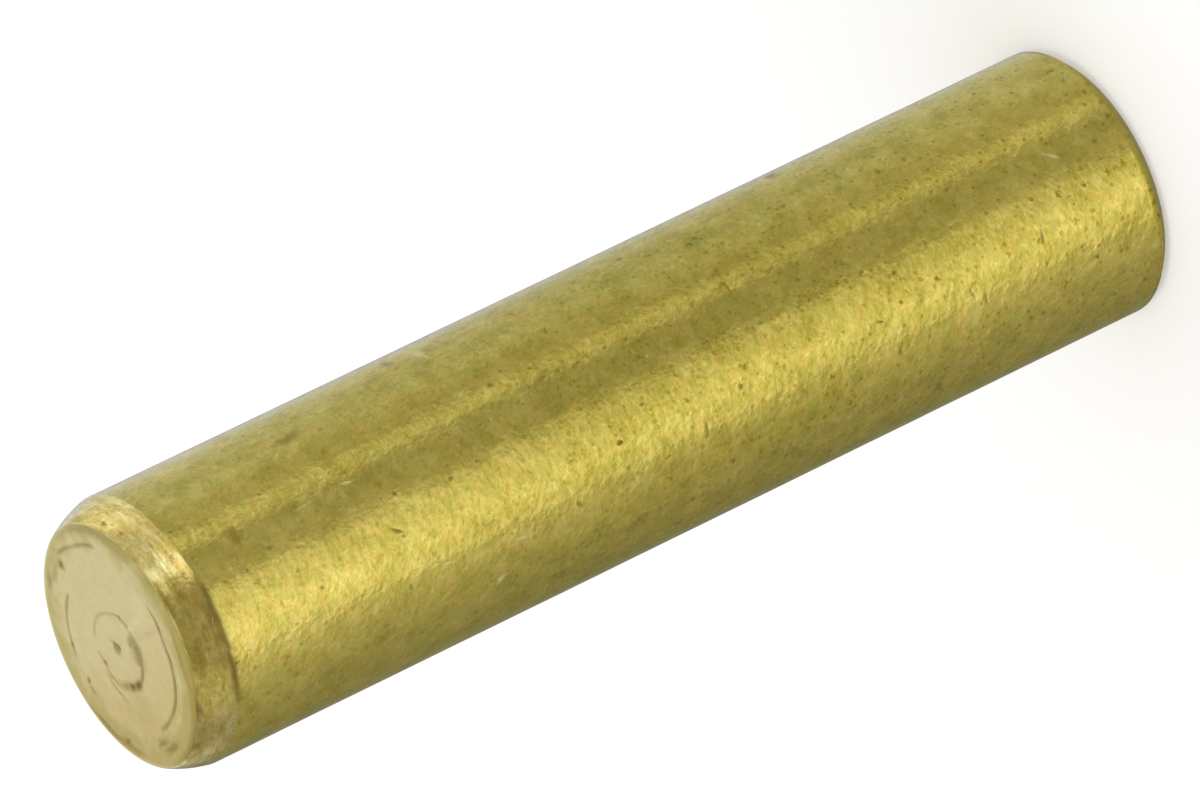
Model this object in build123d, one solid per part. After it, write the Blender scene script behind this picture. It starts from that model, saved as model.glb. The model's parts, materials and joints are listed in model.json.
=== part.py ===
from build123d import *
import os

# A shear pin: one solid piece of drawn brass bar, parted to length in a lathe.
# It stands on its plain end at the origin, with its axis along +Z, and its
# faced end, with the long lead chamfer that starts it into its hole, is on top.

# Driving dimensions, in millimetres.
shank_diameter = 6.0        # the bar itself, which is what shears
overall_length = 25.0       # plain end to faced end
lead_length = 0.85          # lead chamfer, measured along the axis
lead_depth = 0.34           # lead chamfer, measured towards the axis
lead_crown = 0.04           # how far the middle of the lead stands proud of a flat cone
nose_radius = 0.12          # rounding where the lead chamfer meets the end face
plain_end_break = 0.21      # 45 degree edge break round the plain end
centre_mark_radius = 0.14   # dimple that the facing tool leaves on the axis
centre_mark_depth = 0.05    # how deep that dimple is at the axis

# Places in the section, worked out from them: X is the radius, Y the height.
shank_radius = shank_diameter / 2
plain_face_edge = Vector(shank_radius - plain_end_break, 0)
shank_bottom = Vector(shank_radius, plain_end_break)
shank_top = Vector(shank_radius, overall_length - lead_length)
nose_corner = Vector(shank_radius - lead_depth, overall_length)
centre_mark_edge = Vector(centre_mark_radius, overall_length)
centre_mark_bottom = Vector(0, overall_length - centre_mark_depth)

# The lead is very slightly barrel shaped: its middle is lead_crown off the straight line.
lead_direction = (nose_corner - shank_top).normalized()
lead_outwards = Vector(lead_direction.Y, -lead_direction.X)
lead_middle = (shank_top + nose_corner) / 2 + lead_outwards * lead_crown


def half_section():
    """Right half of the pin's section in the XZ plane, from the axis out."""
    with BuildSketch(Plane.XZ) as section:
        with BuildLine():
            Polyline((0, 0), plain_face_edge, shank_bottom, shank_top)
            ThreePointArc(shank_top, lead_middle, nose_corner)
            Polyline(nose_corner, centre_mark_edge, centre_mark_bottom, (0, 0))
        make_face()
        corner = section.vertices().sort_by_distance(Plane.XZ.from_local_coords(nose_corner))[0]
        fillet(corner, nose_radius)
    return section.sketch


def turned_pin():
    """The half section turned once round the pin's axis."""
    pin = revolve(half_section(), axis=Axis.Z, revolution_arc=360)
    pin.label = "shear_pin"
    return pin


nodes = {"shear_pin": turned_pin()}

os.makedirs("parts", exist_ok=True)
for name, solid in nodes.items():
    export_step(solid, os.path.join("parts", name + ".step"))
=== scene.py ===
import json
import math
import random
from collections import namedtuple

import bmesh
import bpy
import numpy as np
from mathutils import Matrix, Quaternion, Vector, noise
from mathutils.kdtree import KDTree


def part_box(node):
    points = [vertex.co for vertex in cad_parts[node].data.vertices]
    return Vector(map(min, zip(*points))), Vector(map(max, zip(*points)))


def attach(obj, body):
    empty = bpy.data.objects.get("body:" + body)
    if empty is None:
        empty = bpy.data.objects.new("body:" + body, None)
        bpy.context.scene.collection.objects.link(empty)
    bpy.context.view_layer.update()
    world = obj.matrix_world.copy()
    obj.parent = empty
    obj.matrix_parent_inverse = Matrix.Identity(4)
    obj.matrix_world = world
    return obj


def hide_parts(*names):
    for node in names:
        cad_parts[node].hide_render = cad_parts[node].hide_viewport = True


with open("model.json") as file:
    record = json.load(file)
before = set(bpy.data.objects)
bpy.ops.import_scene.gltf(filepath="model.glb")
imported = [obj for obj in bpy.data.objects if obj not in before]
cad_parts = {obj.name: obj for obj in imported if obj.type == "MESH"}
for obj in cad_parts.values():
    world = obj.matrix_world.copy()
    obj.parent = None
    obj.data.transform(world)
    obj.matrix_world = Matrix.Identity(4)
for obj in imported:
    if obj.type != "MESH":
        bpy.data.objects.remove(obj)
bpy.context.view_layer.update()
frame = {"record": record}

# A brass shear pin, parted off drawn bar: the shank keeps the bar's own skin, and the lead
# chamfer and the two ends are turned. It stands on its plain end, with +Z along its axis.
# Lengths are in metres, or in millimetres where a name or comment says so.

MM = 0.001
PIN = "shear_pin"

# ---------------- sizes

shank_mount = next(m for m in frame["record"]["mounts"] if m["name"] == "shank")
shank_radius = shank_mount["dims"]["r_mm"] * MM
shank_length = shank_mount["dims"]["length_mm"] * MM
shank_bottom = shank_mount["pos_m"][2] - shank_length / 2
shank_top = shank_mount["pos_m"][2] + shank_length / 2
pin_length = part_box(PIN)[1].z

lead_depth = 0.34 * MM          # how far the lead chamfer runs in towards the axis
lead_crown = 0.04 * MM          # how far its middle stands proud of a flat cone
lead_runout = (-0.04 * MM, 0.011 * MM)  # the lead is turned a little off the bar's centre
nose_radius = 0.12 * MM         # rounding between the lead chamfer and the end face
nose_reach = 1.15 * nose_radius  # how far from the corner that rounding starts and ends
centre_mark_radius = 0.14 * MM  # dimple that the facing tool leaves on the axis
centre_mark_depth = 0.05 * MM
edge_zone = 0.24 * MM           # the ragged edge under the lead, which needs finer faces
tool_mark_depth = 0.004 * MM    # ripple that the tool leaves up the lead
tool_mark_pitch = 0.05 * MM

SEGMENTS = 200                  # facets round the pin
SEED = 7


# ---------------- helpers

def add_object(name, data):
    """A new object in the scene, which holds a mesh, a lamp or a camera."""
    thing = bpy.data.objects.new(name, data)
    bpy.context.scene.collection.objects.link(thing)
    return thing


def add_node(tree, kind, *values, **settings):
    """A new node. values go to its inputs in order: a socket is linked, None is skipped."""
    node = tree.nodes.new(kind)
    for name, setting in settings.items():
        setattr(node, name, setting)
    for socket, value in zip(node.inputs, values):
        set_input(tree, socket, value)
    return node


def set_input(tree, socket, value):
    """Links a socket to value, or sets it to a plain value. None leaves it as it is."""
    if isinstance(value, bpy.types.NodeSocket):
        tree.links.new(value, socket)
    elif value is not None:
        socket.default_value = value


def with_inputs(tree, node, **values):
    """The node, with some of its inputs set or linked by name."""
    for name, value in values.items():
        set_input(tree, node.inputs[name], value)
    return node


def calc(tree, operation, *values):
    """A Math node's result."""
    return add_node(tree, "ShaderNodeMath", *values, operation=operation).outputs[0]


def times(tree, first, second):
    return calc(tree, "MULTIPLY", first, second)


def weighted(tree, base, *parts):
    """base plus every part, which is (value, weight), multiplied by its weight."""
    result = base
    for value, weight in parts:
        result = calc(tree, "ADD", result, times(tree, value, weight))
    return result


def scaled(tree, vector, factor):
    """A vector multiplied by a number."""
    node = add_node(tree, "ShaderNodeVectorMath", vector, operation="SCALE")
    return with_inputs(tree, node, Scale=factor).outputs[0]


def xyz(tree, vector):
    """A vector's parts, by the names X, Y and Z."""
    return add_node(tree, "ShaderNodeSeparateXYZ", vector).outputs


def smooth_step(tree, value, start, end, low=0.0, high=1.0):
    """value mapped from start..end to low..high, eased at both ends and held outside."""
    return add_node(
        tree, "ShaderNodeMapRange", value, start, end, low, high, interpolation_type="SMOOTHSTEP"
    ).outputs[0]


def blend(tree, factor, first, second, mode="MIX"):
    """Two colours mixed. A colour is a socket or (red, green, blue)."""
    node = add_node(tree, "ShaderNodeMix", data_type="RGBA", blend_type=mode)
    set_input(tree, node.inputs[0], factor)
    for socket, colour in ((node.inputs[6], first), (node.inputs[7], second)):
        set_input(tree, socket, (*colour, 1.0) if isinstance(colour, tuple) else colour)
    return node.outputs[2]


def filmed(tree, colour, film, cover):
    """colour under a thin clear film of another colour, where cover is above 0."""
    return blend(tree, cover, colour, blend(tree, 1.0, colour, film, "MULTIPLY"))


def shade(tree, colour, tone):
    """colour made lighter or darker by tone. The lighter it gets, the paler it is too."""
    blue_tone = times(tree, tone, tone)
    tint = add_node(tree, "ShaderNodeCombineColor", tone, tone, blue_tone).outputs[0]
    return blend(tree, 1.0, colour, tint, "MULTIPLY")


def red_part(tree, colour):
    return add_node(tree, "ShaderNodeSeparateColor", colour).outputs[0]


def cloud(tree, place, size, detail=2.0, keep=0.5, stretch=(1.0, 1.0, 1.0), warp=0.0):
    """Noise from 0 to 1 whose lumps are about size millimetres across. place is in millimetres.

    Each of the detail finer layers is half the size and keep times the strength of the last.
    A stretch below 1 makes the lumps longer that way, and warp swirls them."""
    moved = with_inputs(tree, add_node(tree, "ShaderNodeMapping", place), Scale=stretch)
    node = add_node(tree, "ShaderNodeTexNoise", moved.outputs[0])
    with_inputs(tree, node, Scale=1 / size, Detail=detail, Roughness=keep, Distortion=warp)
    return node.outputs[0]


def bands(tree, value, detail=2.0):
    """Noise from 0 to 1 that changes along value only, about once for each step of 1."""
    node = add_node(tree, "ShaderNodeTexNoise", noise_dimensions="1D")
    return with_inputs(tree, node, W=value, Scale=1.0, Detail=detail).outputs[0]


def specks(tree, place, spacing, share, size, shift=0.0):
    """Ragged scattered spots from 0 to 1, in cells that are spacing mm apart.

    share is the part of the cells that have one, and size the radius of the largest in mm.
    shift moves the whole pattern, so that two of them don't coincide."""
    ragged = add_node(tree, "ShaderNodeTexNoise", place)
    with_inputs(tree, ragged, Scale=4.0 / spacing, Detail=3.0)
    wobble = scaled(tree, ragged.outputs["Color"], 0.55 * spacing)
    moved = add_node(tree, "ShaderNodeVectorMath", place, wobble, operation="ADD").outputs[0]
    moved = add_node(
        tree, "ShaderNodeVectorMath", moved, (shift, shift, shift), operation="ADD"
    ).outputs[0]
    cells = with_inputs(tree, add_node(tree, "ShaderNodeTexVoronoi", moved), Scale=1 / spacing)
    largest = size / spacing
    radius = smooth_step(tree, red_part(tree, cells.outputs["Color"]), 1 - share, 1.0, 0.0, largest)
    inside = calc(tree, "SUBTRACT", radius, cells.outputs["Distance"])
    return smooth_step(tree, inside, 0.0, 0.5 * largest)


def wear_layer(tree, name):
    """One of the wear layers painted on the mesh, as a number."""
    return add_node(tree, "ShaderNodeAttribute", attribute_name=name).outputs["Fac"]


# ---------------- the turned section

def straight_run(start, end, spacing):
    """Points from start up to, not at, end, about spacing apart. A point is (radius, height)."""
    steps = max(1, round(math.dist(start, end) / spacing))
    return [
        (start[0] + (end[0] - start[0]) * step / steps, start[1] + (end[1] - start[1]) * step / steps)
        for step in range(steps)
    ]


def rounded_corner(start, corner, end, steps):
    """Points between start and end, on the curve that leaves both towards the corner."""
    points = []
    for step in range(1, steps):
        t = step / steps
        points.append(
            tuple(
                (1 - t) ** 2 * a + 2 * t * (1 - t) * b + t**2 * c
                for a, b, c in zip(start, corner, end)
            )
        )
    return points


def lead_curve(spacing):
    """The barrel-shaped lead chamfer and the rounding above it, shank to end face."""
    length = pin_length - shank_top
    chord = math.hypot(length, lead_depth)
    outwards = (length / chord, lead_depth / chord)
    below_nose = 1 - nose_reach / chord
    steps = round(chord * below_nose / spacing)
    points = []
    for step in range(steps + 1):
        along = below_nose * step / steps
        proud = 4 * lead_crown * along * (1 - along)
        radius = shank_radius - lead_depth * along + outwards[0] * proud
        height = shank_top + length * along + outwards[1] * proud
        points.append((radius, height))
    corner = (shank_radius - lead_depth, pin_length)
    face_edge = (corner[0] - nose_reach, pin_length)
    return points + rounded_corner(points[-1], corner, face_edge, 7) + [face_edge]


def section_points():
    """The half section, from the axis at the plain end to the axis at the faced end."""
    plain_face_edge = (shank_radius - shank_bottom, 0.0)  # its edge break is 45 degrees
    lip = (shank_radius, shank_top - edge_zone)
    lead = lead_curve(0.02 * MM)
    mark_bottom = (0.0, pin_length - centre_mark_depth)
    # Radii on the faced end, and how far apart the points just outside each are. They are
    # finer where the tool lines are.
    face_rings = (
        (2.42 * MM, 0.050 * MM),
        (1.70 * MM, 0.025 * MM),
        (1.26 * MM, 0.060 * MM),
        (0.62 * MM, 0.030 * MM),
        (centre_mark_radius, 0.060 * MM),
    )
    points = straight_run((0.0, 0.0), plain_face_edge, 0.14 * MM)
    points += straight_run(plain_face_edge, (shank_radius, shank_bottom), 0.05 * MM)
    points += straight_run((shank_radius, shank_bottom), lip, 0.14 * MM)
    points += straight_run(lip, (shank_radius, shank_top), 0.03 * MM)
    points += lead[:-1]
    place = lead[-1]
    for radius, spacing in face_rings:
        points += straight_run(place, (radius, pin_length), spacing)
        place = (radius, pin_length)
    points += straight_run(place, mark_bottom, 0.02 * MM)
    return points + [mark_bottom]


def section_mesh():
    """The half section as a chain of edges."""
    points = [(radius, 0.0, height) for radius, height in section_points()]
    mesh = bpy.data.meshes.new("pin_section")
    mesh.from_pydata(points, [(i, i + 1) for i in range(len(points) - 1)], [])
    return mesh


# ---------------- the lathe, as Geometry Nodes

LATHE_INPUTS = (
    ("Section", "Geometry", None),
    ("Segments", "Int", SEGMENTS),
    ("Shank top", "Float", shank_top),
    ("Pin length", "Float", pin_length),
    ("Lead runout", "Vector", (*lead_runout, 0.0)),
    ("Tool mark depth", "Float", tool_mark_depth),
    ("Tool mark pitch", "Float", tool_mark_pitch),
    ("Seed", "Float", float(SEED)),
)


def lathe_tree(drawn, turned, faced):
    """Turns the section round +Z, runs the lead out of centre and gives each surface its finish."""
    tree = bpy.data.node_groups.new("turn_on_lathe", "GeometryNodeTree")
    for name, kind, _ in LATHE_INPUTS:
        tree.interface.new_socket(name, in_out="INPUT", socket_type="NodeSocket" + kind)
    tree.interface.new_socket("Geometry", in_out="OUTPUT", socket_type="NodeSocketGeometry")
    given = add_node(tree, "NodeGroupInput").outputs
    height = xyz(tree, add_node(tree, "GeometryNodeInputPosition").outputs[0])["Z"]
    above_shank = calc(tree, "SUBTRACT", height, given["Shank top"])
    normal = add_node(tree, "GeometryNodeInputNormal").outputs[0]

    shell = spin_section(tree, given)
    move = lead_move(tree, given, above_shank, normal)
    shell = add_node(tree, "GeometryNodeSetPosition", shell, None, None, move).outputs[0]
    shell = add_node(tree, "GeometryNodeSetShadeSmooth", shell).outputs[0]
    shell = add_node(tree, "GeometryNodeRealizeInstances", shell).outputs[0]

    # The bar's skin, then the lead, then whatever faces along the axis.
    steep = calc(tree, "ABSOLUTE", xyz(tree, normal)["Z"])
    for material, chosen in (
        (drawn, None),
        (turned, calc(tree, "GREATER_THAN", above_shank, 0.0)),
        (faced, calc(tree, "GREATER_THAN", steep, 0.66)),
    ):
        shell = add_node(tree, "GeometryNodeSetMaterial", shell, chosen, material).outputs[0]
    add_node(tree, "NodeGroupOutput", shell)
    return tree


def spin_section(tree, given):
    """A closed shell: a grid with a column for each facet and a row for each section point."""
    rows = add_node(
        tree, "GeometryNodeAttributeDomainSize", given["Section"], component="MESH"
    ).outputs["Point Count"]
    columns = calc(tree, "ADD", given["Segments"], 1.0)
    grid = add_node(tree, "GeometryNodeMeshGrid", 1.0, 1.0, columns, rows).outputs["Mesh"]
    index = add_node(tree, "GeometryNodeInputIndex").outputs[0]
    column = calc(tree, "FLOOR", calc(tree, "DIVIDE", calc(tree, "ADD", index, 0.5), rows))
    row = calc(tree, "SUBTRACT", index, times(tree, column, rows))
    point = add_node(tree, "GeometryNodeSampleIndex", data_type="FLOAT_VECTOR", domain="POINT")
    position = add_node(tree, "GeometryNodeInputPosition").outputs[0]
    with_inputs(tree, point, Geometry=given["Section"], Value=position, Index=row)
    profile = xyz(tree, point.outputs[0])
    angle = times(tree, calc(tree, "DIVIDE", column, given["Segments"]), 2 * math.pi)
    place = add_node(
        tree,
        "ShaderNodeCombineXYZ",
        times(tree, profile["X"], calc(tree, "COSINE", angle)),
        times(tree, profile["X"], calc(tree, "SINE", angle)),
        profile["Z"],
    ).outputs[0]
    shell = add_node(tree, "GeometryNodeSetPosition", grid, None, place).outputs[0]
    closed = add_node(tree, "GeometryNodeMergeByDistance", shell)
    return with_inputs(tree, closed, Distance=0.0001 * MM).outputs[0]


def lead_move(tree, given, above_shank, normal):
    """How the lead moves: out of centre, and in and out by the tool's ripple up it."""
    lead_span = calc(tree, "SUBTRACT", given["Pin length"], given["Shank top"])
    up_lead = calc(tree, "DIVIDE", above_shank, lead_span)
    up_lead = add_node(tree, "ShaderNodeClamp", up_lead).outputs[0]
    marks_up = calc(tree, "DIVIDE", above_shank, given["Tool mark pitch"])
    ripple = bands(tree, calc(tree, "ADD", marks_up, given["Seed"]), detail=1.0)
    ripple = calc(tree, "SUBTRACT", ripple, 0.5)
    ripple = times(tree, ripple, given["Tool mark depth"])
    on_lead = smooth_step(tree, up_lead, 0.01, 0.05)
    off_face = smooth_step(tree, up_lead, 0.995, 0.95)
    ripple = times(tree, ripple, times(tree, on_lead, off_face))
    return add_node(
        tree,
        "ShaderNodeVectorMath",
        scaled(tree, normal, ripple),
        scaled(tree, given["Lead runout"], up_lead),
        operation="ADD",
    ).outputs[0]


def turn_pin(materials):
    """The pin's mesh straight off the lathe, before any wear."""
    blank = add_object("pin_blank", section_mesh())
    tree = lathe_tree(*materials)
    modifier = blank.modifiers.new("turn_on_lathe", "NODES")
    modifier.node_group = tree
    sizes = {name: size for name, _, size in LATHE_INPUTS if size is not None}
    for item in tree.interface.items_tree:
        if item.in_out == "INPUT" and item.name in sizes:
            modifier[item.identifier] = sizes[item.name]
    bpy.context.view_layer.update()
    evaluated = blank.evaluated_get(bpy.context.evaluated_depsgraph_get())
    mesh = bpy.data.meshes.new_from_object(evaluated)
    mesh.name = "turned_pin"
    blank.modifiers.remove(modifier)
    bpy.data.objects.remove(blank)
    return mesh


# ---------------- wear, in millimetres and degrees

# A mark on the side of the pin: where its middle is (degrees round the pin from +X, and height),
# half its size across (round the pin) and along (up the pin), how far it is turned from that,
# how deep it is, and how strong its dirt, tarnish and bare paleness are, from 0 to 1; in some marks
# the dirt and tarnish are painted shade and the paleness a painted highlight.
SideMark = namedtuple(
    "SideMark", "angle height across along turn depth grime tarnish shine", defaults=(0.0,) * 3
)

SHANK_MARKS = [SideMark(*row) for row in (
    # dark pits and stains
    (-104, 14.1, 0.065, 0.08, 0, 0.012, 0.75, 0.2),
    (-83, 19.28, 0.06, 0.06, 0, 0.012, 0.8),
    (-149, 6.1, 0.14, 0.12, 20, 0.006, 0.4, 0.6),
    (-51, 15.1, 0.2, 0.28, 0, 0.004, 0, 0.6),
    (-40, 20.4, 0.14, 0.4, 8, 0.006, 0.25, 0.8),
    (-15, 7.1, 0.2, 0.16, 0, 0.008, 0.5, 0.7),
    (-20, 17.2, 0.24, 0.1, 0, 0.006, 0.3, 0.8),
    (-71, 22.89, 0.24, 0.14, 0, 0.002, 0.15, 0.7),
    # nicks and scratches, with painted highlights on them
    (-136, 17.5, 0.07, 0.15, 35, 0.012, 0, 0, 1.0),
    (-25, 16.6, 0.26, 0.14, 0, 0.01, 0, 0, 0.5),
    (-76, 2.05, 0.03, 0.2, -40, 0.01, 0, 0, 1.0),
    (-122, 16.9, 0.03, 0.25, -10, 0.006, 0, 0, 0.7),
    (-117.5, 18.74, 0.03, 0.2, -10, 0.006, 0, 0, 0.6),
    (-71, 20.1, 0.03, 0.14, -12, 0.01, 0, 0, 1.0),
    (-72, 21.2, 0.02, 0.3, 3, 0.005, 0, 0, 0.5),
    (-79.2, 22.4, 0.06, 0.06, 0, 0.002, 0, 0, 0.35),
    (-66, 1.04, 0.04, 0.06, 0, 0.003, 0, 0, 0.6),
    (-77.8, 12.68, 0.045, 0.045, 0, 0.004, 0, 0, 0.7),
    # dark nicks
    (-117, 4.8, 0.2, 0.025, 0, 0.01, 0.8),
    (-112, 5.1, 0.14, 0.025, 10, 0.008, 0.7),
    (-121, 7.1, 0.16, 0.025, 0, 0.008, 0.7),
    (-115, 12.05, 0.24, 0.03, 0, 0.01, 0.7),
    (-67, 10.2, 0.22, 0.025, 0, 0.01, 0.7),
    (-68.2, 15.38, 0.11, 0.03, 0, 0.005, 0.5),
    (-104, 3.1, 0.2, 0.035, -10, 0.012, 0.8),
    (-106, 7.4, 0.1, 0.03, 60, 0.01, 0.8),
    (-96.8, 19.6, 0.04, 0.16, -35, 0.008, 0.7, 0.4),
    (-120.5, 19.68, 0.11, 0.03, 0, 0.006, 0.6),
    (-89.2, 12.32, 0.07, 0.03, 0, 0.006, 0.5),
    (-86, 10.19, 0.09, 0.03, 0, 0.006, 0.5),
    # small dark pits
    (-105, 11, 0.08, 0.05, 0, 0.012, 0.8),
    (-94, 13.3, 0.05, 0.06, 0, 0.01, 0.7),
    (-122, 1.9, 0.06, 0.05, 0, 0.012, 0.9),
    (-136, 3.4, 0.07, 0.06, 0, 0.01, 0.6, 0.3),
    (-120, 15.4, 0.12, 0.05, 20, 0.008, 0.6, 0.3),
    (-100, 5.8, 0.06, 0.05, 0, 0.01, 0.8),
    (-92, 1.7, 0.05, 0.06, 0, 0.01, 0.7),
    (-78, 1, 0.05, 0.05, 0, 0.01, 0.8),
    (-70, 4.6, 0.05, 0.06, 0, 0.01, 0.7),
    (-58, 5.2, 0.05, 0.05, 0, 0.008, 0.6),
    (-60, 16.06, 0.06, 0.07, 0, 0.008, 0.6, 0.4),
    (-84, 5, 0.05, 0.04, 0, 0.008, 0.6),
    (-57.2, 23.99, 0.05, 0.07, 0, 0.008, 0.6, 0.3),
    (-81.2, 22.36, 0.055, 0.055, 0, 0.01, 0.7, 0.2),
    (-104.2, 21.65, 0.05, 0.05, 0, 0.008, 0.6),
    (-59.3, 21.85, 0.05, 0.05, 0, 0.006, 0.6),
    (-62, 0.65, 0.05, 0.06, 0, 0.006, 0.6),
    (-75, 14.53, 0.05, 0.05, 0, 0.004, 0.5, 0.3),
    (-69.2, 12.15, 0.05, 0.05, 0, 0.006, 0.7),
    (-77, 15.5, 0.05, 0.05, 0, 0.004, 0.45),
    (-100.5, 12.29, 0.06, 0.05, 30, 0.008, 0.6),
    (-58.7, 10.29, 0.06, 0.04, 0, 0.006, 0.6),
    (-122.2, 23.62, 0.05, 0.05, 0, 0.006, 0.6),
    (-117, 24.03, 0.06, 0.05, 0, 0.008, 0.8),
)]

LEAD_MARKS = [SideMark(*row) for row in (
    # dark pits
    (-31.5, 24.76, 0.085, 0.06, 0, 0.016, 0.75, 0.2),
    (-43.5, 24.73, 0.06, 0.04, 0, 0.01, 0.7),
    (-51.8, 24.55, 0.06, 0.035, 0, 0.006, 0.4),
    (-57.3, 24.5, 0.05, 0.04, 0, 0.01, 0.7),
    (-29.3, 24.33, 0.06, 0.035, 0, 0.008, 0.5),
    (-26.3, 24.51, 0.06, 0.03, 0, 0.008, 0.5),
    (-76.8, 24.67, 0.06, 0.05, 0, 0.006, 0.6, 0.3),
    (-118.3, 24.71, 0.05, 0.05, 0, 0.004, 0.4, 0.6),
    (-125, 24.4, 0.14, 0.035, 0, 0.004, 0.4, 0.3),
    # painted highlights: pale patches that stand in for the bright reflections on the lead
    (-67, 24.53, 0.17, 0.11, 0, 0.002, 0, 0, 0.9),
    (-69.4, 24.81, 0.17, 0.11, 0, 0.002, 0, 0, 1.0),
    (-69, 24.21, 0.18, 0.06, 0, 0.002, 0, 0, 0.5),
    (-18, 24.22, 0.3, 0.05, 0, 0.001, 0, 0, 0.35),
    (-23.7, 24.24, 0.14, 0.05, 0, 0.002, 0, 0, 0.6),
    (-22.8, 24.47, 0.14, 0.035, 0, 0.002, 0, 0, 0.5),
    (-35.2, 24.45, 0.28, 0.04, 0, 0.002, 0, 0, 0.6),
    (-43.3, 24.4, 0.12, 0.04, 0, 0.002, 0, 0, 0.4),
    (-27, 24.9, 0.2, 0.03, 0, 0.002, 0, 0, 0.4),
    (-96.5, 24.84, 0.16, 0.07, 0, 0, 0, 0, 0.15),
    (-121, 24.26, 0.24, 0.06, 0, 0.001, 0, 0, 0.3),
    (-160, 24.62, 0.35, 0.14, 0, 0.001, 0, 0, 0.25),
    # a thin film over it; the patches from -64 to -68 degrees are painted shade round the painted
    # highlights
    (-68, 24.34, 0.5, 0.06, 0, 0.001, 0, 0.6),
    (-64, 24.21, 0.14, 0.08, 0, 0.001, 0, 0.7),
    (-64.5, 24.7, 0.12, 0.1, 0, 0.001, 0, 0.5),
    (-56, 24.22, 0.6, 0.06, 0, 0.001, 0, 0.4),
    (-24, 24.87, 0.3, 0.07, 0, 0.001, 0, 0.5),
    (-23, 24.84, 0.2, 0.08, 0, 0, 0, 0.7),
    (-8, 24.84, 0.3, 0.1, 0, 0, 0, 0.8),
    (-73.5, 24.84, 0.15, 0.08, 0, 0, 0.1, 0.8),
    (-96, 24.26, 0.22, 0.07, 0, 0, 0.15, 0.8),
    (-113, 24.28, 0.18, 0.07, 0, 0, 0.1, 0.6),
    (-79, 24.55, 0.25, 0.13, 0, 0.001, 0.25, 0.7),
    (-150, 24.8, 0.45, 0.1, 0, 0.001, 0.15, 0.7),
    (-112, 24.8, 0.25, 0.09, 0, 0.001, 0.15, 0.5),
    (-164, 24.86, 0.42, 0.1, 0, 0.001, 0, 1.0),
    (-108, 24.7, 0.3, 0.1, 0, 0.002, 0.2, 0.5),
    (-146, 24.55, 0.3, 0.12, 0, 0.002, 0.2, 0.4),
    # brown streaks under the nose
    (-70.5, 24.9, 0.14, 0.045, 0, 0.003, 0.2, 0.7),
    (-78, 24.86, 0.32, 0.05, 0, 0.004, 0.45, 0.6),
    (-84.5, 24.85, 0.3, 0.06, 0, 0.004, 0.5, 0.5),
    (-134, 24.9, 0.2, 0.08, 15, 0.002, 0.25, 1.0),
    (-156.5, 24.88, 0.26, 0.09, -10, 0.003, 0.3, 1.0),
)]

# A line that the facing tool left on the end face: its radius and its strength at each angle,
# and its half width, depth, dirt and paleness where it is strongest. On the parting pip's ring the
# dirt is partly painted shade.
FaceLine = namedtuple(
    "FaceLine", "angles radii strengths half_width depth grime shine", defaults=(0.0,) * 2
)

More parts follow.
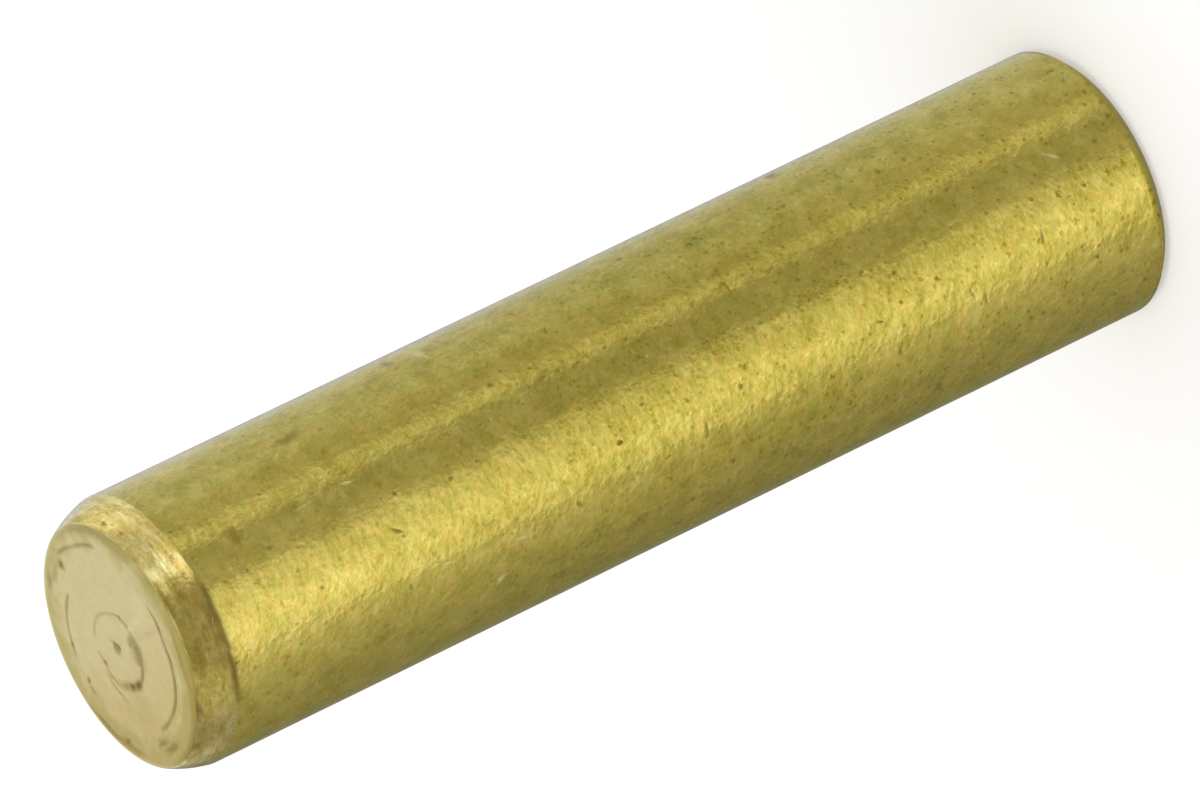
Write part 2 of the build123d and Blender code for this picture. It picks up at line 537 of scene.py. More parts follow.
FACE_LINES = (
    # The first five lines make the ring round the parting pip: dirt in its groove, and painted shade
    # where it is darkest, from about 150 to 230 degrees, on the step's shaded side.
    FaceLine(
        (140, 155, 170, 185, 200, 215, 230, 243, 255, 275, 300, 310),
        (0.92, 0.89, 0.88, 0.88, 0.88, 0.88, 0.85, 0.93, 0.98, 0.89, 0.88, 0.88),
        (0.4, 0.8, 0.9, 1.0, 0.9, 1.0, 0.6, 0.3, 0.3, 0.5, 0.6, 0.9),
        half_width=0.07, depth=0.012, grime=0.62,
    ),
    FaceLine(
        (224, 235, 246, 256, 266, 276, 286),
        (0.82, 0.8, 0.8, 0.8, 0.78, 0.75, 0.82),
        (0.3, 0.9, 0.9, 0.9, 0.9, 0.7, 0.1),
        half_width=0.23, depth=0.004, grime=0.68,
    ),
    FaceLine(
        (124, 140, 150, 160, 170, 180, 192, 200),
        (0.9, 0.9, 0.87, 0.85, 0.85, 0.87, 0.87, 0.88),
        (0.1, 0.4, 0.7, 0.9, 1.0, 1.0, 0.9, 0.3),
        half_width=0.12, depth=0.006, grime=0.74,
    ),
    FaceLine(
        (-50, -30, -10, 10, 30, 45, 60),
        (0.88, 0.8, 0.78, 0.79, 0.8, 0.81, 0.83),
        (0.9, 0.7, 0.8, 0.9, 0.8, 0.9, 0.4),
        half_width=0.05, depth=0.006, grime=0.34,
    ),
    FaceLine(
        (82, 92, 101, 110, 118, 130, 148, 156),
        (0.88, 0.85, 0.82, 0.89, 0.93, 0.94, 0.92, 0.92),
        (0.6, 0.8, 1.0, 0.8, 0.9, 0.7, 0.6, 0.4),
        half_width=0.065, depth=0.008, grime=0.45,
    ),
    FaceLine(
        (106, 113, 120, 127, 135, 142, 151),
        (0.96, 1.04, 1.09, 1.12, 1.16, 1.2, 1.28),
        (0.4, 0.8, 0.7, 0.9, 1.0, 0.8, 0.4),
        half_width=0.042, depth=0.008, grime=0.5,
    ),
    FaceLine(
        (186, 196, 204, 213, 221, 236, 248, 257, 265, 274, 284),
        (1.9, 1.92, 1.94, 1.98, 2.02, 2.06, 2.09, 2.07, 2.1, 2.17, 2.15),
        (0.7, 0.8, 0.7, 0.9, 1.0, 1.0, 0.9, 0.9, 0.6, 0.8, 0.3),
        half_width=0.062, depth=0.014, grime=0.66,
    ),
    FaceLine(
        (192, 210, 225, 240, 262),
        (2.12, 2.16, 2.2, 2.24, 2.24),
        (0.3, 0.8, 1.0, 1.0, 0.4),
        half_width=0.085, depth=0, shine=0.22,
    ),
    FaceLine(
        (34, 38, 46, 57, 66, 76, 84),
        (1.74, 1.76, 1.8, 1.85, 1.88, 1.91, 1.93),
        (0.3, 0.9, 1.0, 0.8, 0.5, 0.9, 0.2),
        half_width=0.058, depth=0.01, grime=0.56,
    ),
    FaceLine(
        (-28, -20, -10, 0, 11, 15),
        (2.33, 2.31, 2.28, 2.29, 2.33, 2.35),
        (0.4, 1.0, 0.9, 0.7, 1.0, 0.5),
        half_width=0.06, depth=0.012, grime=0.5,
    ),
)

# A spot on the end face: angle and radius of its middle, and half its size round and outwards.
FaceSpot = namedtuple(
    "FaceSpot", "angle radius across outwards depth grime tarnish shine", defaults=(0.0,) * 3
)

FACE_SPOTS = [FaceSpot(*row) for row in (
    # The two spots in the centre dimple are painted shade on its walls.
    (45, 0.04, 0.15, 0.15, 0, 0.42, 0.3),
    (-100, 0.04, 0.08, 0.1, 0, 0.62, 0.6),
    # On the parting pip's ring: the spots at 188 and 222 degrees are dirt, tarnish and painted shade
    # on its shaded side, and the pale one at -74 degrees is a painted highlight.
    (188, 0.89, 0.16, 0.1, 0.002, 0.46, 1.0),
    (222, 0.87, 0.14, 0.05, 0.002, 0.5, 0.8),
    (268, 0.6, 0.1, 0.05, 0.004, 0.5, 0.6),
    (-74, 0.89, 0.06, 0.05, 0.01, 0, 0, 1.0),
    (-50, 0.89, 0.06, 0.05, 0.012, 0.5, 0.2),
    (19, 2.15, 0.12, 0.1, 0.012, 0.6, 0.7),
    (30, 2.25, 0.3, 0.1, 0.004, 0.1, 0.6),
    (100, 1.93, 0.06, 0.09, 0.01, 0.6, 0.3),
    (76, 1.93, 0.07, 0.07, 0.01, 0.6, 0.3),
    (141, 2.32, 0.1, 0.07, 0.01, 0.6, 0.4),
    (180, 2.14, 0.22, 0.07, 0.003, 0.14, 1.0),
    (187, 2.34, 0.34, 0.09, 0.003, 0.14, 1.0),
    (101, 0.82, 0.09, 0.07, 0.006, 0.5, 0.5),
    (106, 2.0, 0.16, 0.07, 0.002, 0.2, 0.4),
    (40, 2.39, 0.22, 0.09, 0.002, 0.25, 0.5),
    (122, 2.45, 0.6, 0.08, 0, 0.3, 0.6),
    (142, 2.42, 0.5, 0.1, 0, 0.15, 0.7),
    (-108, 2.52, 0.5, 0.06, 0, 0.1, 0.6),
    (270, 2.12, 0.1, 0.05, 0.006, 0.4, 0.4),
    (-76, 1.35, 0.1, 0.45, 0, 0, 0, 0.25),
    (-72, 1.8, 0.3, 0.3, 0, 0, 0, 0.15),
    (-90, 1.6, 0.07, 0.4, 0, 0, 0.35),
    (165, 1.5, 0.9, 0.4, 0, 0, 0.3),
    (110, 1.6, 0.7, 0.35, 0, 0, 0.15),
)]

SMALL_PITS = 150                # scattered over the whole shank
MARK_REACH = 1.35               # how far past its own size a mark still shapes the metal
MARK_RAGGED = 0.55              # how far a mark's outline strays, as a share of its size
MARK_LIP = 0.2                  # how high metal is pushed up round it, as a share of its depth
LINE_LIP = 0.3
LINE_WANDER = 0.012             # how far a tool line strays from its radius
SKIN_WAVES = ((1.6, 0.0022), (0.55, 0.0016))  # how long and how high the skin's waves are


def small_pits():
    """Small dings and pits, scattered over the whole shank."""
    chance = random.Random(SEED)
    pits = []
    for _ in range(SMALL_PITS):
        across = chance.uniform(0.030, 0.055)
        pits.append(
            SideMark(
                angle=chance.uniform(-180, 180),
                height=chance.uniform(0.4, shank_top / MM - 0.2),
                across=across,
                along=across * chance.uniform(0.7, 1.5),
                turn=chance.uniform(0, 180),
                depth=chance.uniform(0.004, 0.010),
                grime=chance.uniform(0.3, 0.7),
            )
        )
    return pits


def mark_spine(mark, radius):
    """Points along the longer way of a mark, close enough together to cover it."""
    half = max(mark.across, mark.along)
    step = min(mark.across, mark.along)
    turn = math.radians(mark.turn)
    count = max(1, math.ceil(half / step))
    spine = []
    for index in range(-count + 1, count):
        shift = half * index / count
        round_pin, up_pin = (shift, 0.0) if mark.across > mark.along else (0.0, shift)
        angle = math.radians(mark.angle)
        angle += (round_pin * math.cos(turn) - up_pin * math.sin(turn)) / radius
        height = mark.height + round_pin * math.sin(turn) + up_pin * math.cos(turn)
        spine.append((radius * math.cos(angle), radius * math.sin(angle), height))
    return spine


def faces_near(faces, marks, margin):
    """Those of the faces that are within a margin of a mark's reach."""
    tree = KDTree(len(faces))
    for index, face in enumerate(faces):
        tree.insert(face.calc_center_median() / MM, index)
    tree.balance()
    chosen = set()
    for mark in marks:
        near = min(mark.across, mark.along) * MARK_REACH + margin
        for place in mark_spine(mark, shank_radius / MM):
            chosen.update(index for _, index, _ in tree.find_range(place, near))
    return [faces[index] for index in sorted(chosen)]


def refine_shank(mesh, marks):
    """Finer faces under the marks, halved twice and put back on the bar's round surface."""
    shaping = bmesh.new()
    shaping.from_mesh(mesh)
    for margin in (0.10, 0.03):
        on_shank = [
            face
            for face in shaping.faces
            if shank_bottom < face.calc_center_median().z < shank_top - 0.05 * MM
        ]
        shaping.edges.index_update()
        edges = {edge for face in faces_near(on_shank, marks, margin) for edge in face.edges}
        edges = sorted(edges, key=lambda edge: edge.index)
        bmesh.ops.subdivide_edges(shaping, edges=edges, cuts=1, use_grid_fill=True)
    for vertex in shaping.verts:
        if shank_bottom <= vertex.co.z <= shank_top:
            flat = Vector((vertex.co.x, vertex.co.y))
            flat *= shank_radius / flat.length
            vertex.co.x, vertex.co.y = flat
    shaping.to_mesh(mesh)
    shaping.free()


def eased(value, start, end):
    """0 at start, 1 at end, eased between and held outside."""
    share = np.clip((value - start) / (end - start), 0.0, 1.0)
    return share * share * (3 - 2 * share)


def hump(value, middle, width):
    """1 at middle, and near 0 from two widths away."""
    return np.exp(-(((value - middle) / width) ** 2))


def round_place(angle):
    """The point at that many degrees on a circle of radius 1, to read noise from."""
    angle = math.radians(angle)
    return Vector((math.cos(angle), math.sin(angle), 0.0))


class Wear:
    """Works out how the marks move and colour each point of the mesh."""

    def __init__(self, mesh):
        self.mesh = mesh
        self.count = len(mesh.vertices)
        self.points = self.read("co") / MM
        self.normals = self.read("normal")
        self.lift = np.zeros(self.count)
        self.grime = np.zeros(self.count)
        self.tarnish = np.zeros(self.count)
        self.shine = np.zeros(self.count)
        x, y, self.height = self.points.T
        self.angle = np.degrees(np.arctan2(y, x))
        self.radius = np.hypot(x, y)
        self.side = self.normals[:, 2] < 0.8
        self.top = self.height > pin_length / MM - 0.06
        # Marks on the faced end lie round the lead's centre, which isn't the bar's.
        self.face_x = x - lead_runout[0] / MM
        self.face_y = y - lead_runout[1] / MM
        self.face_angle = np.degrees(np.arctan2(self.face_y, self.face_x))
        self.face_radius = np.hypot(self.face_x, self.face_y)

    def read(self, name):
        """A place or direction of each of the mesh's points, as rows."""
        values = np.empty(self.count * 3)
        self.mesh.vertices.foreach_get(name, values)
        return values.reshape(-1, 3)

    def cover(self, layer, spots, values):
        """Puts values on a layer at some points, where they are stronger than what is there."""
        there = getattr(self, layer)
        there[spots] = np.maximum(there[spots], values)

    def add(self, mark, across, along, reached):
        """One mark's dip, lip and layers. across and along are 1 at the mark's edge."""
        away = np.where(reached, np.hypot(across, along), 9.0)
        spots = np.nonzero(away < 2)[0]
        # Its angle and depth say where in the noise its ragged outline is read from.
        where = Vector((mark.angle, mark.depth * 99, 0.0))
        offsets = zip(across[spots], along[spots])
        ragged = [noise.noise(where + Vector((a, b, 0.0)) * 1.3) for a, b in offsets]
        away = away[spots] * (1 + MARK_RAGGED * np.array(ragged))
        dip = (1 - np.minimum(away, 1) ** 2) ** 2
        self.lift[spots] += mark.depth * (MARK_LIP * hump(away, 1.15, 0.22) - dip)
        crisp = eased(away, 1.3, 0.3)
        soft = eased(away, 1.7, 0.0)
        self.cover("grime", spots, mark.grime * crisp)
        self.cover("tarnish", spots, mark.tarnish * soft)
        self.cover("shine", spots, mark.shine * crisp)

    def side_mark(self, mark):
        """A mark on the shank or the lead."""
        off_angle = (self.angle - mark.angle + 180) % 360 - 180
        round_pin = np.radians(off_angle) * self.radius
        up_pin = self.height - mark.height
        turn = math.radians(mark.turn)
        across = (round_pin * math.cos(turn) + up_pin * math.sin(turn)) / mark.across
        along = (up_pin * math.cos(turn) - round_pin * math.sin(turn)) / mark.along
        self.add(mark, across, along, self.side)

    def face_spot(self, mark):
        """A spot on the end face."""
        middle = math.radians(mark.angle)
        x = self.face_x - mark.radius * math.cos(middle)
        y = self.face_y - mark.radius * math.sin(middle)
        across = (y * math.cos(middle) - x * math.sin(middle)) / mark.across
        outwards = (x * math.cos(middle) + y * math.sin(middle)) / mark.outwards
        self.add(mark, across, outwards, self.top)

    def face_line(self, line):
        """A tool line on the end face, uneven along its length."""
        start, end = line.angles[0], line.angles[-1]
        angle = (self.face_angle - start + 40) % 360 + start - 40
        wander = np.array([noise.noise((a / 9, line.radii[0] * 5, 0.0)) for a in angle])
        middle = np.interp(angle, line.angles, line.radii) + LINE_WANDER * wander
        strength = np.interp(angle, line.angles, line.strengths)
        strength *= eased(angle, start - 3, start + 3) * eased(angle, end + 3, end - 3)
        strength *= 1 + 0.4 * wander
        away = np.abs(self.face_radius - middle) / line.half_width
        spots = np.nonzero((away < 2) & (strength > 0.01) & self.top)[0]
        away, strength = away[spots], strength[spots]
        dip = np.exp(-1.6 * away**2)
        self.lift[spots] += strength * line.depth * (LINE_LIP * hump(away, 1.4, 0.35) - dip)
        self.cover("grime", spots, line.grime * strength * dip)
        self.cover("shine", spots, line.shine * strength * dip)

    def waviness(self):
        """The bar is straightened and drawn, so its skin is very slightly uneven."""
        on_shank = (self.height < shank_top / MM) & (self.height > shank_bottom / MM)
        for length, height in SKIN_WAVES:
            for spot in np.nonzero(on_shank)[0]:
                self.lift[spot] += height * noise.noise(self.points[spot] / length)

    def ragged_edges(self):
        """The lead breaks out of the bar's skin unevenly, and the parted end is not quite crisp."""
        top = shank_top / MM
        edge_reach = hump(self.height, top, 0.09)
        near_rim = self.radius > shank_radius / MM - 0.5
        low_reach = hump(self.height, 0.0, 0.2) * near_rim
        for spot in np.nonzero((edge_reach > 0.01) | (low_reach > 0.01))[0]:
            place = round_place(self.angle[spot])
            slow = noise.noise(place * 3.1)
            quick = noise.noise(place * 14 + Vector((5, 0, 0)))
            self.points[spot, 2] += (0.05 * slow + 0.030 * quick) * edge_reach[spot]
            burr = 0.02 * max(0.0, noise.noise(place * 22 + Vector((0, 9, 0))))
            self.lift[spot] += burr * hump(self.height[spot], top - 0.02, 0.03)
            off_table = self.height[spot] > 0.01
            self.lift[spot] += 0.012 * quick * low_reach[spot] * off_table

    def lead_edge_shadow_and_highlight(self):
        """A painted shadow where the lead breaks out of the skin, as under a small step, with painted
        highlights of the burrs below it.

        It lies on one side of the pin only, from -76 to -140 degrees round it."""
        edge = shank_top / MM - 0.025
        strength = eased(self.angle, -76, -86) * eased(self.angle, -140, -122)
        for spot in np.nonzero((strength > 0.01) & (np.abs(self.height - edge) < 0.4))[0]:
            place = round_place(self.angle[spot])
            middle = edge + 0.035 * noise.noise(place * 12)
            width = 0.084 + 0.045 * noise.noise(place * 21 + Vector((0, 0, 7)))
            dirt_and_shade = hump(self.height[spot], middle, width)
            # painted shadow along the edge
            self.cover("grime", spot, 0.9 * strength[spot] * dirt_and_shade)
            # painted highlights of the burrs below it
            burr = max(0.0, noise.noise(place * 25 + Vector((0, 0, 3))) + 0.1)
            burr *= hump(self.height[spot], middle - 0.12, 0.045)
            self.cover("shine", spot, 0.9 * strength[spot] * burr)

    def finish(self):
        """Moves the points and stores the layers on the mesh."""
        moved = (self.points + self.normals * self.lift[:, None]) * MM
        moved[:, 2] = np.maximum(moved[:, 2], 0.0)
        self.mesh.vertices.foreach_set("co", moved.ravel())
        for layer in ("grime", "tarnish", "shine"):
            values = self.mesh.attributes.new(layer, "FLOAT", "POINT")
            values.data.foreach_set("value", np.clip(getattr(self, layer), 0.0, 1.0))
        self.mesh.update()


def wear_pin(mesh):
    """Marks the mesh all over, and paints its wear layers."""
    marks = SHANK_MARKS + small_pits()
    refine_shank(mesh, marks)
    wear = Wear(mesh)
    for mark in marks + LEAD_MARKS:
        wear.side_mark(mark)
    for mark in FACE_SPOTS:
        wear.face_spot(mark)
    for line in FACE_LINES:
        wear.face_line(line)
    wear.waviness()
    wear.ragged_edges()
    wear.lead_edge_shadow_and_highlight()
    wear.finish()


# ---------------- finishes

# Colours of the metal, and of what lies on it.
GOLDEN_SKIN = (0.83, 0.645, 0.125)
GREENISH_SKIN = (0.76, 0.65, 0.125)
GREY_FILM = (0.87, 0.88, 0.85)
BROWN_FILM = (0.86, 0.77, 0.55)
PALE_LEAD = (0.89, 0.755, 0.29)
BROWN_LEAD = (0.79, 0.625, 0.18)
LEAD_FILM = (0.86, 0.79, 0.64)
WARM_FACE = (0.79, 0.665, 0.34)
GREENISH_FACE = (0.76, 0.665, 0.325)
FACE_RIM = (0.60, 0.52, 0.19)   # the greener brass towards the rim of an end face
FACE_FILM = (0.94, 0.89, 0.74)
# tarnish, also used for painted shade round the lead's painted highlights
TARNISH_AND_SHADE_FILM = (0.70, 0.61, 0.38)
# dirt, also used for painted shade in the centre dimple, on the pip's ring and under the lead's edge
DIRT_AND_SHADE = (0.26, 0.19, 0.042)
# pale brass of bare nicks, also used for painted highlights
BARE_AND_HIGHLIGHT_BRASS = (1.0, 0.93, 0.45)

GRAIN_WINDING = 0.07            # radians that the skin's grain winds round for each mm up
WAIST = 11.5                    # height in mm where the skin is darkest


def start_brass(name):
    """A new metal: its material, node tree, shader, and Object coordinates in millimetres."""
    material = bpy.data.materials.new(name)
    material.use_nodes = True
    tree = material.node_tree
    shader = tree.nodes["Principled BSDF"]
    place = scaled(tree, add_node(tree, "ShaderNodeTexCoord").outputs["Object"], 1 / MM)
    return material, tree, shader, place


def finish_brass(tree, shader, clean, dirt_and_shade, roughness, relief):
    """Wires up a metal: clean is its colour before wear, and relief its height in millimetres."""
    # tarnish, and painted shade round the lead's painted highlights
    colour = filmed(tree, clean, TARNISH_AND_SHADE_FILM, wear_layer(tree, "tarnish"))
    # dirt, and painted shade
    colour = blend(tree, dirt_and_shade, colour, DIRT_AND_SHADE)
    # pale bare brass at nicks, and painted highlights on the lead, the shank and the end face
    colour = blend(tree, wear_layer(tree, "shine"), colour, BARE_AND_HIGHLIGHT_BRASS)
    set_input(tree, shader.inputs["Base Color"], colour)
    bump = add_node(tree, "ShaderNodeBump")
    with_inputs(tree, bump, Strength=1.0, Distance=MM, Height=relief)
    with_inputs(tree, shader, Metallic=1.0, Roughness=roughness, Normal=bump.outputs[0])


def drawn_brass():
    """The bar's own skin: mottled, flecked and finely pitted, with draw lines along it."""
    material, tree, shader, place = start_brass("drawn_brass_skin")
    height_up = xyz(tree, place)["Z"]
    # The grain winds slowly round the bar, so that its lumps don't line up with the axis.
    winding = times(tree, height_up, GRAIN_WINDING)
    wound = add_node(
        tree, "ShaderNodeVectorRotate", place, None, None, winding, rotation_type="Z_AXIS"
    ).outputs[0]

    hue = smooth_step(tree, cloud(tree, place, 0.30, detail=3.0, warp=0.4), 0.35, 0.65)
    mottle = cloud(tree, place, 0.70, detail=4.0, keep=0.80)
    patches = smooth_step(tree, cloud(tree, place, 0.50, detail=3.0), 0.52, 0.74)
    flecks = smooth_step(tree, cloud(tree, wound, 0.13, detail=1.0, keep=0.6), 0.58, 0.74)
    pale_flecks = smooth_step(tree, cloud(tree, wound, 0.11, detail=1.0, warp=0.3), 0.60, 0.73)
    fine_spots = times(tree, specks(tree, place, 0.15, 0.75, 0.070), 0.65)
    spots = calc(tree, "MAXIMUM", fine_spots, specks(tree, place, 0.34, 0.45, 0.092, shift=3.0))
    spots = times(tree, spots, smooth_step(tree, height_up, 22.0, 6.0, 0.6, 1.1))
    from_waist = calc(tree, "ABSOLUTE", calc(tree, "SUBTRACT", height_up, WAIST))

    tone = weighted(
        tree,
        smooth_step(tree, from_waist, 1.0, 12.0, 0.467, 0.563),
        (mottle, 1.05),
        (pale_flecks, 0.17),
        (spots, -0.15),
        (flecks, -0.14),
    )
    colour = shade(tree, blend(tree, hue, GOLDEN_SKIN, GREENISH_SKIN), tone)
    colour = filmed(tree, colour, GREY_FILM, patches)
    colour = filmed(tree, colour, BROWN_FILM, spots)
    dirt_and_shade = calc(tree, "MAXIMUM", wear_layer(tree, "grime"), times(tree, spots, 0.10))
    roughness = weighted(
        tree, 0.08, (mottle, 0.12), (dirt_and_shade, 0.30), (wear_layer(tree, "shine"), 0.40)
    )
    relief = weighted(
        tree,
        0.0,
        (cloud(tree, wound, 0.34, detail=1.0, keep=0.55), 0.0140),
        (cloud(tree, wound, 0.13, detail=1.0), 0.0070),
        (cloud(tree, place, 0.045, stretch=(1.0, 1.0, 0.03)), 0.0009),
        (spots, -0.0026),
    )
    finish_brass(tree, shader, colour, dirt_and_shade, roughness, relief)
    return material


def turned_brass():
    """The lead chamfer: fine tool lines round the pin, and a thin uneven tarnish."""
    material, tree, shader, place = start_brass("turned_brass")
    lines = cloud(tree, place, 0.060, keep=0.6, stretch=(0.10, 0.10, 1.0))
    streaks = cloud(tree, place, 0.14, detail=3.0, keep=0.75, stretch=(0.35, 0.35, 1.0))
    mottle = cloud(tree, place, 0.40, detail=4.0, keep=0.85)
    patches = smooth_step(tree, cloud(tree, place, 0.40, detail=3.0), 0.46, 0.68)
    flecks = cloud(tree, place, 0.14, keep=0.65, stretch=(0.6, 0.6, 1.0))
    flecks = smooth_step(tree, flecks, 0.60, 0.74)
    near_face = smooth_step(
        tree,
        weighted(tree, xyz(tree, place)["Z"], (patches, 0.04)),
        (pin_length - 0.6 * nose_radius) / MM,
        (pin_length - 0.1 * nose_radius) / MM,
    )

    tone = weighted(tree, 0.55, (mottle, 1.4), (streaks, -0.5))
    colour = blend(tree, smooth_step(tree, streaks, 0.35, 0.65), PALE_LEAD, BROWN_LEAD)
    colour = filmed(tree, shade(tree, colour, tone), LEAD_FILM, patches)
    colour = blend(tree, near_face, colour, shade(tree, FACE_RIM, tone))
    dirt_and_shade = calc(tree, "MAXIMUM", wear_layer(tree, "grime"), times(tree, flecks, 0.30))
    roughness = weighted(tree, 0.10, (streaks, 0.12), (dirt_and_shade, 0.3), (near_face, 0.14))
    relief = weighted(
        tree, 0.0, (lines, 0.0030), (cloud(tree, place, 0.30), 0.0130), (flecks, -0.003)
    )
    finish_brass(tree, shader, colour, dirt_and_shade, roughness, relief)
    return material


def faced_brass():
    """The end faces: pale and matt, with faint rings, and a greener zone towards the rim."""
    material, tree, shader, place = start_brass("faced_brass")
    parts = xyz(tree, place)
    x = calc(tree, "SUBTRACT", parts["X"], lead_runout[0] / MM)
    y = calc(tree, "SUBTRACT", parts["Y"], lead_runout[1] / MM)
    radius = calc(tree, "SQRT", calc(tree, "ADD", times(tree, x, x), times(tree, y, y)))
    rings = bands(tree, times(tree, radius, 22.0))
    hue = smooth_step(tree, cloud(tree, place, 0.35, detail=3.0), 0.35, 0.65)
    mottle = cloud(tree, place, 0.30, detail=4.0, keep=0.75)
    clouds = cloud(tree, place, 0.50, detail=3.0)
    outer = weighted(tree, radius, (clouds, 1.3), (x, -0.08), (y, 0.05))
    outer = smooth_step(tree, outer, 2.53, 3.20)
    browner = smooth_step(tree, weighted(tree, x, (clouds, 1.6)), 1.3, -0.9)

    colour = blend(tree, outer, blend(tree, hue, WARM_FACE, GREENISH_FACE), FACE_RIM)
    colour = filmed(tree, colour, FACE_FILM, browner)
    colour = shade(tree, colour, weighted(tree, 0.845, (mottle, 0.30), (rings, 0.06)))
    dirt_and_shade = wear_layer(tree, "grime")
    roughness = weighted(tree, 0.30, (mottle, 0.12), (dirt_and_shade, 0.25))
    relief = weighted(tree, 0.0, (rings, 0.0016), (mottle, 0.0060))
    finish_brass(tree, shader, colour, dirt_and_shade, roughness, relief)
    return material


# ---------------- studio

NEUTRAL = (1.0, 1.0, 1.0)
COOL = (1.0, 1.05, 1.24)
WARM = (1.0, 1.0, 0.70)
AMBER = (1.0, 0.96, 0.70)
OVERHEAD = (0.72, 0.70, 0.62)
UNDERNEATH = (0.35, 0.34, 0.26)
WHITE = (1.0, 1.0, 1.0, 1.0)

# Soft panels and darker gaps round the pin: azimuth in degrees from +X, brightness, and a tint
# where the light isn't neutral. The shank shows the low ring, and the lead and the faced end
# the high one.
LOW_RING = (
    (-180, 0.36), (-160, 0.45), (-147, 0.53), (-137, 0.74), (-122, 0.88), (-108, 0.8),
    (-94, 0.68), (-86, 0.59), (-79, 0.42), (-68, 0.36), (-48, 0.36), (-42, 0.5), (-37, 0.6),
    (-32, 0.5), (-26, 0.4), (-14, 0.41), (4, 0.48, COOL), (14, 0.44, COOL), (30, 0.49, COOL),
    (62, 0.57, COOL), (74, 0.57, COOL), (84, 0.385), (92, 0.29), (102, 0.24, WARM),
    (120, 0.225, WARM), (140, 0.26, WARM), (160, 0.3), (180, 0.36),
)
HIGH_RING = (
    (-180, 0.41), (-162, 0.48, AMBER), (-147, 0.5, AMBER), (-132, 0.37, AMBER),
    (-117, 0.33, AMBER), (-102, 0.34, AMBER), (-86, 0.35, AMBER), (-72, 0.38, AMBER), (-64, 0.73),
    (-57, 1.05), (-49, 0.99), (-38, 0.85), (-26, 0.69), (-12, 0.64), (2, 0.79), (17, 0.9),
    (31, 0.93), (45, 0.79), (60, 0.8), (76, 0.94), (90, 1.29), (110, 0.92), (129, 0.54),
    (143, 0.46), (156, 0.36), (180, 0.41),
)

TABLE_REACH = 2.0               # how far the table runs each way
LAMP_PLACE = Vector((-0.15, -0.1, 0.6))
LAMP_WIDTH = 0.5
LAMP_WATTS = 0.5

CAMERA_AIM = Vector((0.168, 0.0, 12.632)) * MM
CAMERA_DISTANCE = 320.93 * MM
CAMERA_ELEVATION = math.radians(27.258)
CAMERA_ROLL = math.radians(-115.787)
CAMERA_LENS = 464.73            # in millimetres, on a sensor 36 mm wide


def ring_of_light(tree, azimuth, stops):
    """The light of a ring at an azimuth in radians, blended from stop to stop."""
    turn = calc(tree, "ADD", calc(tree, "DIVIDE", azimuth, 2 * math.pi), 0.5)
    ramp = add_node(tree, "ShaderNodeValToRGB", turn)
    elements = ramp.color_ramp.elements
    while len(elements) < len(stops):
        elements.new(0.5)
    for element, (degrees, level, *tints) in zip(elements, stops):
        tint = tints[0] if tints else NEUTRAL
        element.position = degrees / 360 + 0.5
        element.color = (*(level * part for part in tint), 1.0)
    return ramp.outputs["Color"]


def low_light(tree, azimuth, rise):
    """The low ring. Its bright panels grow brighter upwards and are faintly striped."""
    light = ring_of_light(tree, azimuth, LOW_RING)
    upwards = smooth_step(tree, rise, -0.62, -0.30, 0.76, 1.24)
    stripes = bands(tree, times(tree, azimuth, 9.0))
    stripes = smooth_step(tree, stripes, 0.3, 0.7, 0.90, 1.10)
    change = calc(tree, "SUBTRACT", times(tree, upwards, stripes), 1.0)
    share = smooth_step(tree, red_part(tree, light), 0.36, 0.62, 0.20, 1.0)
    return shade(tree, light, weighted(tree, 1.0, (change, share)))


def high_light(tree, azimuth, rise):
    """The high ring. Its bright panels are slatted and fade upwards."""
    light = ring_of_light(tree, azimuth, HIGH_RING)
    brightness = red_part(tree, light)
    slats = bands(tree, times(tree, rise, 9.0))
    slats = smooth_step(tree, slats, 0.3, 0.7, 0.65, 1.35)
    share = smooth_step(tree, brightness, 0.40, 1.10, 0.25, 1.0)
    light = blend(tree, 1.0, light, blend(tree, share, NEUTRAL, slats), "MULTIPLY")
    faded = smooth_step(tree, azimuth, -0.2, 0.5, 0.86, 0.64)
    fading = smooth_step(tree, rise, 0.10, 0.42, 1.0, faded)
    share = smooth_step(tree, brightness, 0.40, 0.75)
    return blend(tree, 1.0, light, blend(tree, share, NEUTRAL, fading), "MULTIPLY")


def background(tree, colour, strength):
    return add_node(tree, "ShaderNodeBackground", colour, strength).outputs[0]


def add_world():
    """White to the camera; soft panels and darker gaps round the pin to its reflections."""
    world = bpy.data.worlds.new("studio")
    bpy.context.scene.world = world
    world.use_nodes = True
    world.cycles.sampling_method = "NONE"
    tree = world.node_tree
    tree.nodes.clear()
    direction = xyz(tree, add_node(tree, "ShaderNodeTexCoord").outputs["Generated"])
    azimuth = calc(tree, "ARCTAN2", direction["Y"], direction["X"])
    rise = direction["Z"]
    low = low_light(tree, azimuth, rise)
    high = high_light(tree, azimuth, rise)
    seen = blend(tree, smooth_step(tree, rise, -0.33, -0.08), low, high)
    seen = blend(tree, smooth_step(tree, rise, 0.55, 0.85), seen, OVERHEAD)
    seen = blend(tree, smooth_step(tree, rise, -0.60, -0.85), seen, UNDERNEATH)
    reflected = background(tree, seen, 1.0)
    ambient = background(tree, WHITE, 0.75)
    backdrop = background(tree, WHITE, 1.0)
    rays = add_node(tree, "ShaderNodeLightPath").outputs
    shown = add_node(tree, "ShaderNodeMixShader", rays["Is Glossy Ray"], ambient, reflected)
    plain = calc(tree, "MAXIMUM", rays["Is Camera Ray"], rays["Is Transmission Ray"])
    shown = add_node(tree, "ShaderNodeMixShader", plain, shown.outputs[0], backdrop)
    add_node(tree, "ShaderNodeOutputWorld", shown.outputs[0])


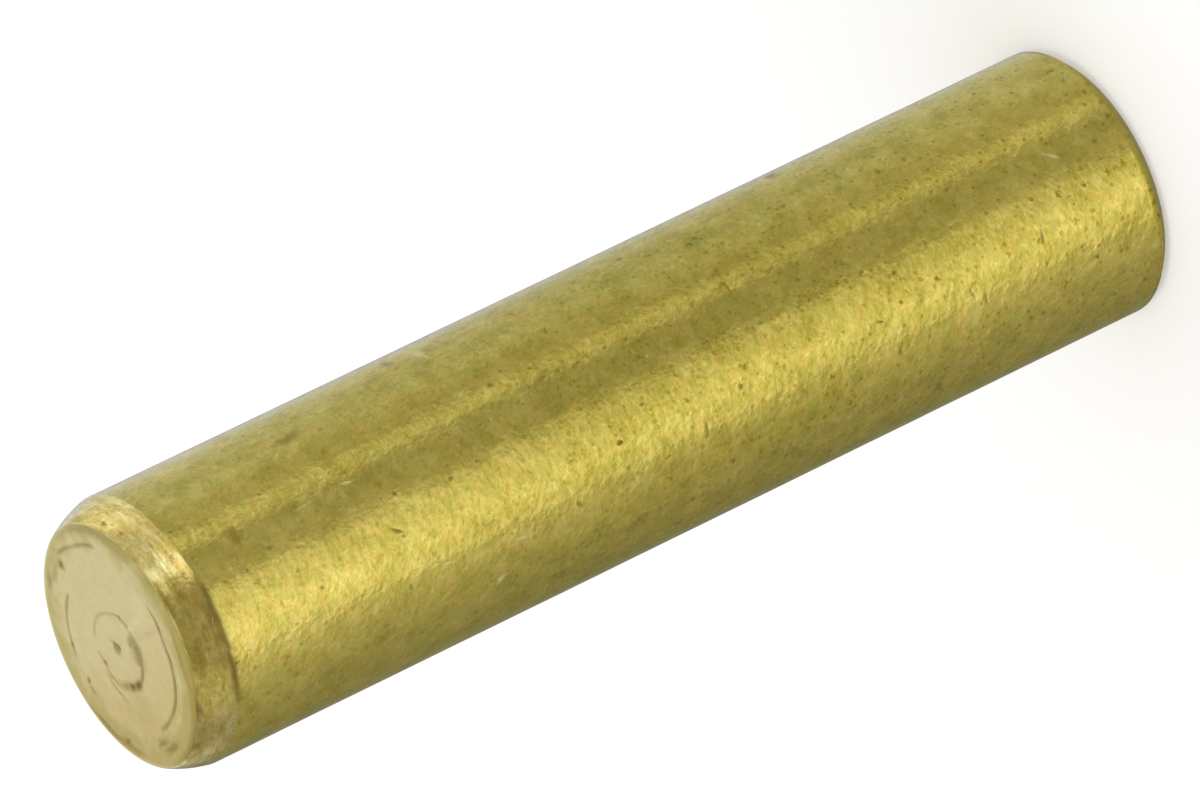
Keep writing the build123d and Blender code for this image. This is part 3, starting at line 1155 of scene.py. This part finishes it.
def add_floor():
    """A white table that keeps the pin's shadow. The metal reflects the studio, not the table."""
    mesh = bpy.data.meshes.new("table")
    corners = ((-1, -1), (1, -1), (1, 1), (-1, 1))
    points = [(x * TABLE_REACH, y * TABLE_REACH, 0.0) for x, y in corners]
    mesh.from_pydata(points, [], [(0, 1, 2, 3)])
    material = bpy.data.materials.new("table_white")
    material.use_nodes = True
    tree = material.node_tree
    tree.nodes.clear()
    paper = add_node(tree, "ShaderNodeBsdfDiffuse", (0.9, 0.9, 0.9, 1.0)).outputs[0]
    to_camera = add_node(tree, "ShaderNodeLightPath").outputs["Is Camera Ray"]
    glow = add_node(tree, "ShaderNodeEmission", WHITE, times(tree, to_camera, 0.28))
    both = add_node(tree, "ShaderNodeAddShader", paper, glow.outputs[0]).outputs[0]
    add_node(tree, "ShaderNodeOutputMaterial", both)
    mesh.materials.append(material)
    floor = add_object("table", mesh)
    floor.visible_glossy = False


def add_lamp():
    """One broad lamp overhead, so that the table keeps a soft shadow."""
    data = bpy.data.lights.new("soft_lamp", "AREA")
    data.shape = "DISK"
    data.size = LAMP_WIDTH
    data.energy = LAMP_WATTS
    lamp = add_object("soft_lamp", data)
    lamp.location = LAMP_PLACE
    lamp.rotation_mode = "QUATERNION"
    lamp.rotation_quaternion = (-LAMP_PLACE).to_track_quat("-Z", "Y")
    lamp.visible_glossy = False


def add_camera():
    """A long lens that looks down on the pin's faced end, with the camera rolled over."""
    data = bpy.data.cameras.new("camera")
    data.sensor_width = 36.0
    data.lens = CAMERA_LENS
    data.clip_start = 10 * MM
    data.clip_end = 20.0
    camera = add_object("camera", data)
    back = Vector((0.0, -math.cos(CAMERA_ELEVATION), math.sin(CAMERA_ELEVATION)))
    level = (-back).to_track_quat("-Z", "Y")
    camera.rotation_mode = "QUATERNION"
    camera.rotation_quaternion = level @ Quaternion((0, 0, 1), CAMERA_ROLL)
    camera.location = CAMERA_AIM + back * CAMERA_DISTANCE
    bpy.context.scene.camera = camera


# ---------------- put together

add_camera()
add_world()
add_floor()
add_lamp()

pin_mesh = turn_pin((drawn_brass(), turned_brass(), faced_brass()))
wear_pin(pin_mesh)
pin = add_object("turned_pin", pin_mesh)
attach(pin, "root")
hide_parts(PIN)

bpy.context.scene.view_settings.view_transform = "Standard"
